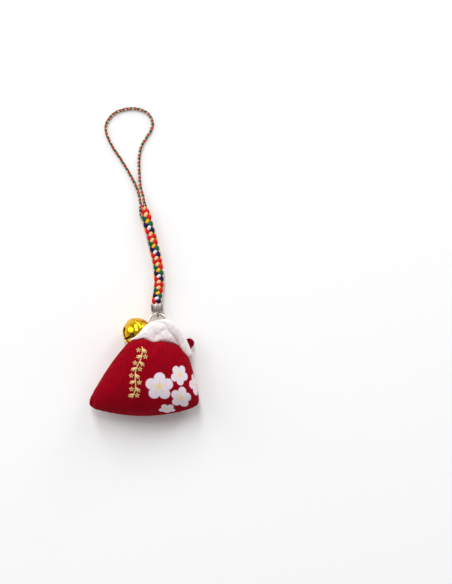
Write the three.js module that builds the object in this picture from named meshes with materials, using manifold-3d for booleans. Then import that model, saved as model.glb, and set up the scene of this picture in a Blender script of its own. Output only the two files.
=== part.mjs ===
// A small charm pouch lying on its back: a stuffed four-cornered cloth pouch with a white collar, a jingle
// bell, and a braided strap ending in a cord loop. Millimetres, +Z up, resting on Z = 0.
import * as THREE from 'three';
import { mergeVertices } from 'three/addons/utils/BufferGeometryUtils.js';
import Module from 'manifold-3d';

const wasm = await Module();
wasm.setup();

// Driving dimensions
const fitGap = 0.3; // between pieces that touch
const floorGap = 0.02; // under what lies loose on the surface

// Pouch, seen from above
const baseWidth = 29.6; // bottom seam, corner to corner
const baseShift = -0.75; // middle of the bottom seam, right of the origin
const baseDrop = 7.9; // bottom corners below the origin
const baseSag = 2.7; // middle of the bottom seam below its corners
const mouthWidth = 15.2; // mouth, end to end, across
const mouthShift = 3.5; // middle of the mouth, right of the origin
const mouthReach = 9.6; // left end of the mouth above the origin
const mouthSlope = 2.7; // right end of the mouth below its left end
const mouthBow = 1.1; // outward bow of the mouth's edge
const leftBow = 0.9; // outward bow of the left edge
const rightBow = 0.5; // outward bow of the right edge

// Pouch, heights over the surface
const cornerHeight = 3.7; // seam at the two bottom corners
const mouthOverBell = 1.88; // seam at the mouth's left end, over the top of the bell under it
const mouthFoot = 3.3; // seam at the mouth's right end
const middleHeight = 5.6; // seam surface over the origin
const crownRise = 7.2; // crown above the seam surface
const bellyDrop = 6.6; // belly below the seam surface, cut flat where it rests
const bellyLift = 4.6; // taken off that drop beside the mouth's left end
const crownPower = 2.6; // roundness of the crown across
const crownEase = 0.6; // steepness of the crown at the seam
const bellyPower = 2.2; // roundness of the belly across
const bellyEase = 0.72; // steepness of the belly at the seam
const clothThickness = 0.5;
const earWidth = 2.6; // corner of the back cloth that shows behind the collar
const earReach = 3.8;
const earThickness = 0.9;
const earTurn = 41; // degrees, to the right of straight up
const earInset = 1.15; // its foot, left of the mouth's right end
const earRoot = 2.5; // how far it runs on under the cloth's edge

// Prayer slip in the stuffing
const slipWidth = 8.0;
const slipLength = 11.0;
const slipThickness = 0.8;

// Collar of the mouth
const collarThickness = 0.7;
const collarReach = 5.6; // at its widest
const collarTaper = [0.05357, 0.25, 0.84821, 1, 0.71429, 0.375, 0.13393]; // shares of it, left to right
const collarFanLeft = 112; // degrees, way the collar points at its left end
const collarFanRight = 22; // degrees, at its right end
const collarFold = 0.35; // height of its folds
const collarFolds = 2.5;
const lipStart = 0.5; // where the front lip begins along the mouth, as a share
const lipWidth = 1.9;
const lipThickness = 0.6;

// Bell
const bellRadius = 3.95;
const bellWall = 0.3;
const flangeReach = 0.16;
const flangeThickness = 0.3;
const slotWidth = 0.62;
const slotEndRadius = 0.72;
const slotHalfAngle = 38; // degrees, pole to the round end of a slot
const pelletRadius = 1.3;
const shankNeck = 0.75; // bell's outside to the middle of its eye
const shankStem = 0.3; // radius
const headRadius = 0.85;
const headThickness = 0.3;
const bellTuck = 1.99; // how far the bell reaches in under the mouth's left end
const bellBearing = 208.9; // degrees, from the ring towards the bell

// Jump ring, eyes and hanger
const ringShift = -0.4; // ring's middle, right of the mouth's middle
const ringRadius = 2.15; // to the middle of the wire
const ringWire = 0.33;
const ringSplit = 5; // degrees, gap between its ends
const ringSplitBearing = 20; // degrees, where that gap is
const ringLift = 0.42; // under the eyes that hang on the ring
const eyeWire = 0.23;
const hangerThread = 0.4;
const hangerStandOff = 0.6; // its ends, out from the mouth
const hangerSpread = 0.5; // half the distance between its ends
const hangerWaist = 0.95; // its strands half way, as a share of its bend

// Crimp and cords
const crimpWidth = 3.2;
const crimpDepth = 2.2;
const crimpLength = 1.8;
const crimpWall = 0.35;
const crimpSlit = 0.25; // between its left wall and the flap folded over its front
const crimpCorner = 0.45;
const crimpYaw = 6; // degrees
const crimpPitch = -3; // degrees
const braidRadius = 1.38;
const loopRadius = 0.42;

// Routes of the cords from the crimp outwards: across, along, and rise over lying on the surface
const braidRoute = [
  [2.86, 20.3, 0.02], [3.03, 21.2, 0], [3.35, 23.4, 0], [3.44, 25.9, 0], [3.3, 28.6, 0],
  [2.95, 30.6, 0], [2.55, 32.6, 0], [2.08, 34.7, 0], [1.58, 36.7, 0], [1.05, 38.8, 0],
  [0.5, 40.8, 0], [0.14, 42.3, 0], [-0.18, 43.8, 0], [-0.5, 45.6, 0],
];
const loopRoute = [
  [-0.45, 46.0, 0.8], [-0.82, 48.0, 0.5], [-1.5, 50.5, 0.14], [-1.8, 54.2, 0], [-1.85, 57.9, 0],
  [-1.2, 61.3, 0], [0.4, 64.0, 0], [1.4, 65.7, 0], [1.68, 67.8, 0], [0.45, 70.0, 0], [-2.2, 71.2, 0],
  [-5.2, 71.2, 0], [-8.4, 70.05, 0], [-10.4, 67.6, 0], [-10.6, 65.0, 0], [-9.1, 61.45, 0],
  [-6.65, 57.7, 0], [-4.6, 54.3, 0], [-2.68, 50.6, 0.14], [-1.86, 48.1, 0.5], [-1.45, 45.85, 0.8],
];

// Fineness of the faceted solids
const baseSteps = 12;
const rightSteps = 6;
const mouthSteps = 10;
const leftSteps = 9;
const pouchRings = 9;
const collarColumns = 20;
const collarRows = 5;
const earSteps = 8;
const bellSides = 24;
const cupSteps = 9;
const smallSides = 12;
const pelletRows = 8;
const eyeSteps = 20;
const ringPoints = 24;
const ringSteps = 36;
const hangerTurn = 30; // degrees
const hangerSteps = 26;
const crimpCornerSteps = 3;
const cordSides = 8;
const braidSteps = 14;
const loopSteps = 44;
const mergeDistance = 1e-4;

const clothRed = { color: 0x9a0b20, roughness: 0.85, metalness: 0 };
const collarWhite = { color: 0xebe4e6, roughness: 0.9, metalness: 0 };
const stuffingWhite = { color: 0xf2f0ea, roughness: 1, metalness: 0 };
const paperWhite = { color: 0xefe6d2, roughness: 0.9, metalness: 0 };
const threadWhite = { color: 0xefe9e2, roughness: 0.8, metalness: 0 };
const bellGold = { color: 0xe0b012, roughness: 0.2, metalness: 1 };
const steelGrey = { color: 0xb4b0ac, roughness: 0.3, metalness: 1 };
const braidRed = { color: 0xc81a14, roughness: 0.8, metalness: 0 };
const loopRed = { color: 0xa8323a, roughness: 0.8, metalness: 0 };

const charm = new THREE.Group();
const degrees = THREE.MathUtils.degToRad;

function addPart(name, geometry, finish, parent = charm) {
  const mesh = new THREE.Mesh(geometry, new THREE.MeshStandardMaterial(finish));
  mesh.name = name;
  parent.add(mesh);
  return mesh;
}

// Closed geometry to a solid for joining and cutting, and back
function toSolid(geometry) {
  const bare = geometry.clone();
  bare.deleteAttribute('normal');
  bare.deleteAttribute('uv');
  const merged = mergeVertices(bare, mergeDistance);
  const vertProperties = new Float32Array(merged.attributes.position.array);
  const triVerts = new Uint32Array(merged.index.array);
  return new wasm.Manifold(new wasm.Mesh({ numProp: 3, vertProperties, triVerts }));
}

function toGeometry(solid) {
  const mesh = solid.getMesh();
  const geometry = new THREE.BufferGeometry();
  geometry.setAttribute('position', new THREE.BufferAttribute(mesh.vertProperties, 3));
  geometry.setIndex(new THREE.BufferAttribute(mesh.triVerts, 1));
  return geometry;
}

function joined(...geometries) {
  return toGeometry(geometries.map(toSolid).reduce((whole, piece) => whole.add(piece)));
}

function cut(geometry, ...tools) {
  return toGeometry(tools.map(toSolid).reduce((rest, tool) => rest.subtract(tool), toSolid(geometry)));
}

// Tube of a round section along a smooth curve through the points
function tube(points, radius, steps) {
  const section = new THREE.Shape();
  section.absarc(0, 0, radius, 0, 2 * Math.PI);
  const extrudePath = new THREE.CatmullRomCurve3(points);
  return new THREE.ExtrudeGeometry(section, { extrudePath, steps, curveSegments: cordSides / 2 });
}

// Cylinder standing along Z
function upright(radius, length) {
  return new THREE.CylinderGeometry(radius, radius, length, smallSides).rotateX(Math.PI / 2);
}

// Profile in radius and height turned round Z
function turned(profile) {
  return new THREE.LatheGeometry(profile, bellSides).rotateX(Math.PI / 2);
}

// Closed body between two grids of points with the same rows and columns, the first one on top
function bodyBetween(upper, lower, columnsJoin) {
  const rows = upper.length;
  const columns = upper[0].length;
  const positions = [upper, lower].flat(2).flatMap((point) => point.toArray());
  const index = [];
  const at = (side, row, column) => side * rows * columns + row * columns + (column % columns);
  const quad = (a, b, c, d) => index.push(a, b, c, a, c, d);
  const spans = columnsJoin ? columns : columns - 1;
  const last = rows - 1;
  for (let row = 0; row < last; row += 1) {
    for (let column = 0; column < spans; column += 1) {
      quad(at(0, row, column), at(0, row + 1, column), at(0, row + 1, column + 1), at(0, row, column + 1));
      quad(at(1, row, column), at(1, row, column + 1), at(1, row + 1, column + 1), at(1, row + 1, column));
    }
    if (!columnsJoin) {
      quad(at(0, row, 0), at(1, row, 0), at(1, row + 1, 0), at(0, row + 1, 0));
      quad(at(0, row, spans), at(0, row + 1, spans), at(1, row + 1, spans), at(1, row, spans));
    }
  }
  for (let column = 0; column < spans; column += 1) {
    quad(at(0, last, column), at(1, last, column), at(1, last, column + 1), at(0, last, column + 1));
    if (!columnsJoin) {
      quad(at(0, 0, column), at(0, 0, column + 1), at(1, 0, column + 1), at(1, 0, column));
    }
  }
  const geometry = new THREE.BufferGeometry();
  geometry.setAttribute('position', new THREE.Float32BufferAttribute(positions, 3));
  geometry.setIndex(index);
  return withoutFlatTriangles(mergeVertices(geometry, mergeDistance));
}

// Rows that shrink to one point leave triangles with two corners alike: those go
function withoutFlatTriangles(geometry) {
  const old = geometry.index.array;
  const kept = [];
  for (let i = 0; i < old.length; i += 3) {
    const [a, b, c] = [old[i], old[i + 1], old[i + 2]];
    if (a !== b && b !== c && c !== a) {
      kept.push(a, b, c);
    }
  }
  geometry.setIndex(kept);
  return geometry;
}

// Corners of the pouch: two on the bottom seam, two at the ends of the mouth. The left end lies on the bell.
const bellZ = bellRadius + floorGap;
const mouthTop = bellZ + bellRadius + mouthOverBell;
const leftCorner = new THREE.Vector3(baseShift - baseWidth / 2, -baseDrop, cornerHeight);
const rightCorner = new THREE.Vector3(baseShift + baseWidth / 2, -baseDrop, cornerHeight);
const mouthLeft = new THREE.Vector3(mouthShift - mouthWidth / 2, mouthReach, mouthTop);
const mouthRight = new THREE.Vector3(mouthShift + mouthWidth / 2, mouthReach - mouthSlope, mouthFoot);

// Point on an edge bowed outwards, to the right of its direction
function onEdge(from, to, bow, share) {
  const along = to.clone().sub(from);
  const outward = new THREE.Vector3(along.y, -along.x, 0).normalize();
  return from.clone().lerp(to, share).addScaledVector(outward, bow * 4 * share * (1 - share));
}

// Seam line round the pouch, its corners eased, drawn in by an inset
function seamLine(inset) {
  const edges = [
    [leftCorner, rightCorner, baseSag, baseSteps],
    [rightCorner, mouthRight, rightBow, rightSteps],
    [mouthRight, mouthLeft, mouthBow, mouthSteps],
    [mouthLeft, leftCorner, leftBow, leftSteps],
  ];
  const rough = edges.flatMap(([from, to, bow, steps]) =>
    Array.from({ length: steps }, (_, i) => onEdge(from, to, bow, i / steps)));
  const around = (list, i) => list[(i + list.length) % list.length];
  const line = rough.map((point, i) =>
    point.clone().multiplyScalar(2).add(around(rough, i - 1)).add(around(rough, i + 1)).divideScalar(4));
  return line.map((point, i) => {
    const along = around(line, i + 1).clone().sub(around(line, i - 1));
    const inward = new THREE.Vector3(-along.y, along.x, 0).normalize();
    return point.clone().addScaledVector(inward, inset);
  });
}

// Half of the pouch as rings from the origin out to the seam line. side is 1 for the crown and -1 for the
// belly, inset is the depth under the cloth's outer face, and part lifts the half off the seam.
function pouchHalf(side, inset, part) {
  const line = seamLine(inset);
  const rings = [];
  for (let ring = 0; ring <= pouchRings; ring += 1) {
    const reach = Math.sin(ring / pouchRings * Math.PI / 2);
    const crownSwell = (1 - reach ** crownPower) ** crownEase;
    const bellySwell = (1 - reach ** bellyPower) ** bellyEase;
    rings.push(line.map((seam) => {
      const height = middleHeight * (1 - reach ** 2) + (seam.z + side * part) * reach ** 2;
      const towardsMouthLeft = Math.max(0, (seam.z - cornerHeight) / (mouthTop - cornerHeight)) ** 2;
      const drop = bellyDrop - bellyLift * towardsMouthLeft * reach;
      const top = height + (crownRise - inset) * crownSwell;
      const bottom = Math.max(inset, height - (drop - inset) * bellySwell);
      return new THREE.Vector3(seam.x * reach, seam.y * reach, side > 0 ? top : bottom);
    }));
  }
  return rings;
}

// Stuffed pouch: front and back cloth, stuffing with a pocket, and the slip in the pocket
function buildPouch() {
  const seamPart = fitGap / 2;
  const front = bodyBetween(pouchHalf(1, 0, seamPart), pouchHalf(1, clothThickness, seamPart), true);
  addPart('front_cloth', front, clothRed);

  const back = bodyBetween(pouchHalf(-1, clothThickness, seamPart), pouchHalf(-1, 0, seamPart), true);
  const inside = bodyBetween(pouchHalf(1, clothThickness, 0), pouchHalf(-1, clothThickness, 0), true);
  addPart('back_cloth', joined(back, cut(ear(), inside)), clothRed);

  const stuffingInset = clothThickness + fitGap;
  const stuffing = bodyBetween(pouchHalf(1, stuffingInset, 0), pouchHalf(-1, stuffingInset, 0), true);
  const pocketLength = slipLength + mouthReach;
  const pocket = new THREE.BoxGeometry(slipWidth + 2 * fitGap, pocketLength, slipThickness + 2 * fitGap);
  pocket.translate(mouthShift, pocketLength / 2 - slipLength / 2 - fitGap, middleHeight);
  addPart('stuffing', cut(stuffing, pocket), stuffingWhite);

  const slip = new THREE.BoxGeometry(slipWidth, slipLength, slipThickness);
  addPart('prayer_slip', slip, paperWhite).position.set(mouthShift, 0, middleHeight);
}

// Round-ended tab of the back cloth that stands out behind the collar
function ear() {
  const outline = new THREE.Shape();
  outline.moveTo(-earWidth / 2, -earRoot);
  outline.lineTo(earWidth / 2, -earRoot);
  outline.absarc(0, earReach - earWidth / 2, earWidth / 2, 0, Math.PI);
  const depth = earThickness;
  const tab = new THREE.ExtrudeGeometry(outline, { depth, bevelEnabled: false, curveSegments: earSteps });
  tab.rotateZ(degrees(-earTurn));
  const underCollar = mouthRight.z - collarThickness / 2 - fitGap - earThickness;
  return tab.translate(mouthRight.x - earInset, mouthRight.y, underCollar);
}

// Mouth's edge from its left end to its right end
const onMouth = (share) => onEdge(mouthRight, mouthLeft, mouthBow, 1 - share);

// Way the collar points along the mouth
function collarWay(share) {
  const angle = degrees(THREE.MathUtils.lerp(collarFanLeft, collarFanRight, share));
  return new THREE.Vector3(Math.cos(angle), Math.sin(angle), 0);
}

// Collar's width along the mouth
const collarCurve = new THREE.SplineCurve(collarTaper.map((taper, i) =>
  new THREE.Vector2(i / (collarTaper.length - 1), taper * collarReach)));
const collarWidth = (share) => collarCurve.getPoint(share).y;

// Strip of the collar between two shares of the mouth, from an inner share of the collar's width to its rim
function collarStrip(start, end, innerAt, thickness, lift) {
  const pointAt = (side, row, column) => {
    const share = THREE.MathUtils.lerp(start, end, column / collarColumns);
    const out = THREE.MathUtils.lerp(innerAt(share), 1, row / collarRows);
    const point = onMouth(share).addScaledVector(collarWay(share), fitGap + out * collarWidth(share));
    const wave = collarFold * out * Math.sin(share * collarFolds * 2 * Math.PI);
    point.z += lift + wave + side * thickness / 2;
    return point;
  };
  const layer = (side) => Array.from({ length: collarRows + 1 }, (_, row) =>
    Array.from({ length: collarColumns + 1 }, (_, column) => pointAt(side, row, column)));
  return bodyBetween(layer(-1), layer(1), false);
}

function buildCollar() {
  addPart('collar_back_lip', collarStrip(0, 1, () => 0, collarThickness, 0), collarWhite);

  const lipLift = (collarThickness + lipThickness) / 2 + fitGap;
  const lipInner = (share) => Math.max(0, 1 - lipWidth / collarWidth(share));
  addPart('collar_front_lip', collarStrip(lipStart, 1, lipInner, lipThickness, lipLift), collarWhite);
}

// Eyes that hang on the ring
const eyeHole = ringWire + fitGap;
const eyeRadius = eyeHole + eyeWire;
const wireEye = () => new THREE.TorusGeometry(eyeRadius, eyeWire, cordSides, eyeSteps);

// Bell's shank dips from the bell, which lies on the surface, to its eye on the ring
const ringZ = ringLift + eyeRadius + eyeWire;
const shankReach = bellRadius + shankNeck;
const shankDip = Math.asin((bellZ - ringZ) / shankReach);
const cupInner = bellRadius - bellWall;

// Ring, lying level, as far out from the mouth as its bell needs
const bellY = mouthLeft.y + bellRadius - bellTuck;
const ringToBell = ringRadius + shankReach * Math.cos(shankDip);
const ringX = mouthShift + ringShift;
const ringY = bellY - ringToBell * Math.sin(degrees(bellBearing));
const ringMiddle = new THREE.Vector3(ringX, ringY, ringZ);
const onRing = (bearing) => new THREE.Vector3(Math.cos(degrees(bearing)), Math.sin(degrees(bearing)), 0)
  .multiplyScalar(ringRadius).add(ringMiddle);

function buildRing() {
  const points = Array.from({ length: ringPoints + 1 }, (_, i) =>
    onRing(ringSplitBearing + ringSplit / 2 + (360 - ringSplit) * i / ringPoints));
  addPart('jump_ring', tube(points, ringWire, ringSteps), steelGrey);
}

// White thread sewn to the mouth at both ends and looped through the ring
function buildHanger() {
  const hangerFoot = onMouth((ringX - mouthLeft.x) / mouthWidth);
  const underCollar = hangerFoot.z - collarThickness / 2 - fitGap - hangerThread - hangerSpread;
  const anchor = new THREE.Vector3(ringX, hangerFoot.y + hangerStandOff, underCollar);
  const held = onRing(270);
  const half = anchor.clone().lerp(held, 0.5);
  const along = held.clone().sub(anchor).normalize();
  const aside = new THREE.Vector3(0, -along.z, along.y);
  const bend = ringWire + fitGap + hangerThread;
  const at = (origin, side, forward) =>
    origin.clone().addScaledVector(aside, side).addScaledVector(along, forward);
  const points = [at(anchor, hangerSpread, 0), at(half, bend * hangerWaist, 0)];
  for (let angle = 0; angle <= 180; angle += hangerTurn) {
    points.push(at(held, bend * Math.cos(degrees(angle)), bend * Math.sin(degrees(angle))));
  }
  points.push(at(half, -bend * hangerWaist, 0), at(anchor, -hangerSpread, 0));
  addPart('hanger_thread', tube(points, hangerThread, hangerSteps), threadWhite);
}

// Bell's place: its eye hangs on the ring
function bellFrame() {
  const bearing = degrees(bellBearing);
  const level = new THREE.Vector3(-Math.cos(bearing), -Math.sin(bearing), 0);
  const upShank = level.multiplyScalar(Math.cos(shankDip));
  upShank.z = -Math.sin(shankDip);
  const alongWire = new THREE.Vector3(-Math.sin(bearing), Math.cos(bearing), 0);
  const across = alongWire.clone().cross(upShank);
  const frame = new THREE.Group();
  frame.quaternion.setFromRotationMatrix(new THREE.Matrix4().makeBasis(across, alongWire, upShank));
  frame.position.copy(onRing(bellBearing)).addScaledVector(upShank, -shankReach);
  return frame;
}

// Wall of one cup as a profile in radius and height: inside from its pole to the rim, then the outside back
function cupProfile(holeRadius) {
  const rim = fitGap / 2;
  const flange = bellRadius + flangeReach;
  const flangeTop = rim + flangeThickness;
  const arc = (radius, from, to) => Array.from({ length: cupSteps + 1 }, (_, i) => {
    const angle = THREE.MathUtils.lerp(from, to, i / cupSteps);
    return new THREE.Vector2(radius * Math.cos(angle), radius * Math.sin(angle));
  });
  const profile = [
    ...arc(cupInner, Math.acos(holeRadius / cupInner), Math.asin(rim / cupInner)),
    new THREE.Vector2(flange, rim),
    new THREE.Vector2(flange, flangeTop),
    ...arc(bellRadius, Math.asin(flangeTop / bellRadius), Math.acos(holeRadius / bellRadius)),
  ];
  if (holeRadius > 0) {
    return [...profile, profile[0].clone()];
  }
  profile[0].x = 0;
  profile[profile.length - 1].x = 0;
  return profile;
}

// Two crossed slots through the lower pole, ending in round holes
function slotTools() {
  const reach = bellRadius * Math.sin(degrees(slotHalfAngle));
  const foot = cupInner * Math.cos(degrees(slotHalfAngle)) - bellWall;
  const past = bellRadius + bellWall;
  const tools = [];
  for (const turn of [0, degrees(90)]) {
    const slot = new THREE.BoxGeometry(2 * reach, slotWidth, past - foot);
    slot.translate(0, 0, -(foot + past) / 2);
    tools.push(slot.rotateZ(turn));
    for (const side of [-1, 1]) {
      const hole = upright(slotEndRadius, 4 * bellWall);
      hole.translate(0, 0, -(bellRadius - bellWall / 2));
      hole.rotateY(side * degrees(slotHalfAngle));
      tools.push(hole.rotateZ(turn));
    }
  }
  return tools;
}

// Eye on a stem, with a head inside the upper cup
function shank() {
  const eye = wireEye();
  eye.rotateX(Math.PI / 2);
  eye.translate(0, 0, shankReach);
  const headMiddle = Math.sqrt(cupInner ** 2 - headRadius ** 2) - fitGap - headThickness / 2;
  const stemTop = shankReach - eyeHole - eyeWire / 2;
  const stem = upright(shankStem, stemTop - headMiddle);
  stem.translate(0, 0, (stemTop + headMiddle) / 2);
  const head = upright(headRadius, headThickness);
  head.translate(0, 0, headMiddle);
  return joined(eye, stem, head);
}

// Bell in its own frame: +Z from its middle to its shank, Y along the ring's wire
function buildBell() {
  const bell = bellFrame();
  charm.add(bell);
  addPart('bell_upper_cup', turned(cupProfile(shankStem + fitGap)), bellGold, bell);
  const lowerCup = turned(cupProfile(0)).rotateX(Math.PI);
  addPart('bell_lower_cup', cut(lowerCup, ...slotTools()), bellGold, bell);
  addPart('bell_shank', shank(), bellGold, bell);

  const ball = new THREE.SphereGeometry(pelletRadius, smallSides, pelletRows);
  const pellet = addPart('bell_pellet', ball, steelGrey);
  pellet.position.copy(bell.position);
  pellet.position.z -= cupInner - fitGap - pelletRadius;
}

// Crimp in its own frame: its eye at the origin, +Y along the cord
const crimpFoot = eyeRadius - eyeWire / 2;
const crimpMouth = crimpFoot + crimpLength;

function crimpFrame() {
  const frame = new THREE.Group();
  frame.position.copy(onRing(90));
  frame.rotation.set(degrees(crimpPitch), 0, degrees(crimpYaw), 'ZXY');
  frame.updateMatrix();
  return frame;
}

// Sleeve folded from one strip as a section across the cord: the flap ends at a slit beside the left wall
function sleeveSection() {
  const w = crimpWidth / 2;
  const h = crimpDepth / 2;
  const slitLeft = crimpWall - w;
  const slitRight = slitLeft + crimpSlit;
  const section = new THREE.Shape();
  section.moveTo(slitLeft, h);
  section.lineTo(-w + crimpWall / 2, h);
  section.quadraticCurveTo(-w, h, -w, h - crimpWall / 2);
  section.lineTo(-w, -h + crimpCorner);
  section.quadraticCurveTo(-w, -h, -w + crimpCorner, -h);
  section.lineTo(w - crimpCorner, -h);
  section.quadraticCurveTo(w, -h, w, -h + crimpCorner);
  section.lineTo(w, h - crimpCorner);
  section.quadraticCurveTo(w, h, w - crimpCorner, h);
  section.lineTo(slitRight, h);
  section.lineTo(slitRight, h - crimpWall);
  section.lineTo(w - crimpWall, h - crimpWall);
  section.lineTo(w - crimpWall, -h + crimpWall);
  section.lineTo(slitLeft, -h + crimpWall);
  section.closePath();
  return section;
}

function buildCrimp() {
  const frame = crimpFrame();
  charm.add(frame);
  const fold = { depth: crimpLength, bevelEnabled: false, curveSegments: crimpCornerSteps };
  const sleeve = new THREE.ExtrudeGeometry(sleeveSection(), fold);
  sleeve.rotateX(Math.PI / 2);
  sleeve.translate(0, crimpMouth, 0);
  const wall = new THREE.BoxGeometry(crimpWidth - crimpCorner, crimpWall, crimpDepth - crimpCorner);
  wall.translate(0, crimpFoot + crimpWall / 2, 0);
  const eye = wireEye().rotateY(Math.PI / 2);
  addPart('cord_crimp', joined(sleeve, wall, eye), steelGrey, frame);
}

// Cord's route in space, lying on the surface apart from its rises
const laid = (route, radius) => route.map(([x, y, rise]) =>
  new THREE.Vector3(x, y, floorGap + radius + rise));

// Braid, with its pressed end in the crimp, and the loop of thin cord at its far end
function buildStrap() {
  const frame = crimpFrame();
  const start = new THREE.Vector3(0, crimpMouth + fitGap, 0).applyMatrix4(frame.matrix);
  const braid = tube([start, ...laid(braidRoute, braidRadius)], braidRadius, braidSteps);
  const tailRadius = Math.min(crimpWidth, crimpDepth) / 2 - crimpWall - fitGap;
  const tailStart = crimpFoot + crimpWall + fitGap;
  const tailEnd = crimpMouth + fitGap + tailRadius;
  const tail = upright(tailRadius, tailEnd - tailStart).rotateX(Math.PI / 2);
  tail.translate(0, (tailStart + tailEnd) / 2, 0);
  tail.applyMatrix4(frame.matrix);
  addPart('strap_braid', joined(braid, tail), braidRed);
  addPart('strap_loop', tube(laid(loopRoute, loopRadius), loopRadius, loopSteps), loopRed);
}

buildPouch();
buildCollar();
buildRing();
buildHanger();
buildBell();
buildCrimp();
buildStrap();

export default charm;
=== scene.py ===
"""Looks of a small charm: a stuffed cloth pouch with a crepe collar, a jingle bell and a braided strap.

Shapes are worked out in millimetres as arrays over two parameters and put into meshes in metres.
"""
import functools
import math

import bmesh
import bpy
import numpy as np
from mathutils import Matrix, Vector


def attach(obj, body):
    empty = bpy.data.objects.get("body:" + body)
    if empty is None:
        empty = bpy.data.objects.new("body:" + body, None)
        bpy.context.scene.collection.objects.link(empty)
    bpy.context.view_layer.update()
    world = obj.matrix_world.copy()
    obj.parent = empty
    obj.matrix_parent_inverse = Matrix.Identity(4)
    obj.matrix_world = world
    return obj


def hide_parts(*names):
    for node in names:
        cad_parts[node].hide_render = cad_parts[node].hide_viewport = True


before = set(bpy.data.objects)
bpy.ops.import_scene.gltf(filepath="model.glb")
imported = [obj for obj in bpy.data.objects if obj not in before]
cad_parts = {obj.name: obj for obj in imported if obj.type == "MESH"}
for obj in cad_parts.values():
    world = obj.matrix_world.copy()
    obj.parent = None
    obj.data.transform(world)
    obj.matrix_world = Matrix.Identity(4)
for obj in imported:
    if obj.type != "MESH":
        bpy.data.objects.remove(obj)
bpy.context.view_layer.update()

MM = 0.001
TURN = 2 * math.pi
RIGHT, AHEAD, UP = np.eye(3)
seed = 7

# Sizes that the solids have, in millimetres
floor_gap, fit_gap = 0.02, 0.3
left_corner = np.array([-15.55, -7.9, 3.7])
right_corner = np.array([14.05, -7.9, 3.7])
mouth_left = np.array([-4.1, 9.6, 9.8])
mouth_right = np.array([11.1, 6.9, 3.3])
base_sag, right_bow, mouth_bow, left_bow = 2.7, 0.5, 1.1, 0.9
middle_height, crown_rise, crown_power, crown_ease = 5.6, 7.2, 2.6, 0.6
belly_drop, belly_lift, belly_power, belly_ease = 6.6, 4.6, 2.2, 0.72
cloth_thickness, collar_thickness = 0.5, 0.7
under_collar = collar_thickness / 2 + fit_gap
collar_widths = [0.15, 1.4, 4.75, 5.6, 4.0, 2.25, 0.95]
collar_fan = (112, 22)
ear_reach, ear_width, ear_root, ear_turn, ear_inset, ear_thickness = 3.8, 2.6, 2.5, 41, 1.15, 0.9
slip_width, slip_length = 8.0, 11.0
slip_middle = np.array([3.5, 0.0, 5.6])
bell_radius, bell_wall = 3.95, 0.3
bell_middle = np.array([-2.2883, 11.56, 3.97])
bell_bearing, shank_dip, shank_reach = 208.9, 31.56, 4.7
slot_width, slot_end, slot_half_angle = 0.62, 0.72, 38
pellet_radius, pellet_middle = 1.3, np.array([-2.2883, 11.56, 1.92])
ring_middle = np.array([3.1, 14.5345, 1.51])
ring_radius, ring_wire, ring_split, ring_split_bearing = 2.15, 0.33, 5, 20
eye_radius, eye_wire = 0.86, 0.23
hanger_thread, hanger_stand_off, hanger_spread, hanger_waist = 0.4, 0.6, 0.5, 0.95
crimp_width, crimp_depth, crimp_wall, crimp_slit = 3.2, 2.2, 0.35, 0.25
crimp_foot, crimp_mouth = 0.6, 2.545
crimp_yaw, crimp_pitch = 6, -3
braid_radius, loop_radius = 1.38, 0.42

# Routes of the cords: across, along, and rise over lying on the surface
braid_route = [
    [2.86, 20.3, 0.02], [3.03, 21.2, 0], [3.35, 23.4, 0], [3.44, 25.9, 0], [3.3, 28.6, 0],
    [2.95, 30.6, 0], [2.55, 32.6, 0], [2.08, 34.7, 0], [1.58, 36.7, 0], [1.05, 38.8, 0],
    [0.5, 40.8, 0], [0.14, 42.3, 0], [-0.18, 43.8, 0], [-0.5, 45.6, 0],
]
loop_route = [
    [-0.45, 46.0, 0.8], [-0.82, 48.0, 0.5], [-1.5, 50.5, 0.14], [-1.8, 54.2, 0], [-1.85, 57.9, 0],
    [-1.2, 61.3, 0], [0.4, 64.0, 0], [1.4, 65.7, 0], [1.68, 67.8, 0], [0.45, 70.0, 0], [-2.2, 71.2, 0],
    [-5.2, 71.2, 0], [-8.4, 70.05, 0], [-10.4, 67.6, 0], [-10.6, 65.0, 0], [-9.1, 61.45, 0],
    [-6.65, 57.7, 0], [-4.6, 54.3, 0], [-2.68, 50.6, 0.14], [-1.86, 48.1, 0.5], [-1.45, 45.85, 0.8],
]


# Arrays and curves

def unit(vectors):
    """Vectors divided by their lengths."""
    return vectors / np.linalg.norm(vectors, axis=-1, keepdims=True)


def ease(values, low, high):
    """Smooth step from 0 at low to 1 at high: 3t^2 - 2t^3 of the clipped share t."""
    t = np.clip((values - low) / (high - low), 0, 1)
    return t * t * (3 - 2 * t)


def bump(distance, width):
    """Gaussian of a distance: 1 at 0, falling off over width."""
    return np.exp(-(distance / width) ** 2)


def circle(angle):
    """Points of the unit circle: cosine and sine of each angle."""
    return np.stack([np.cos(angle), np.sin(angle)], -1)


def level(angle):
    """Level directions at angles from the right: (cos a, sin a, 0)."""
    return np.stack([np.cos(angle), np.sin(angle), 0 * angle], -1)


def squarish(angle, powers):
    """Cosine and sine of an angle, raised to powers with their signs kept."""
    wave = circle(angle)
    return np.sign(wave) * np.abs(wave) ** powers


def turn_steps(count):
    """Angles of a whole turn in equal steps."""
    return np.arange(count) * TURN / count


def edge_spaced(count):
    """Shares from 0 to 1, closer together towards both ends: (1 - cos pi t) / 2."""
    return (1 - np.cos(np.linspace(0, math.pi, count))) / 2


def run(points, axis=0):
    """Length from the first point to each point along an axis of an array of points."""
    steps = np.linalg.norm(np.diff(points, axis=axis), axis=-1)
    return np.cumsum(np.insert(steps, 0, 0, axis=axis), axis=axis)


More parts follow.
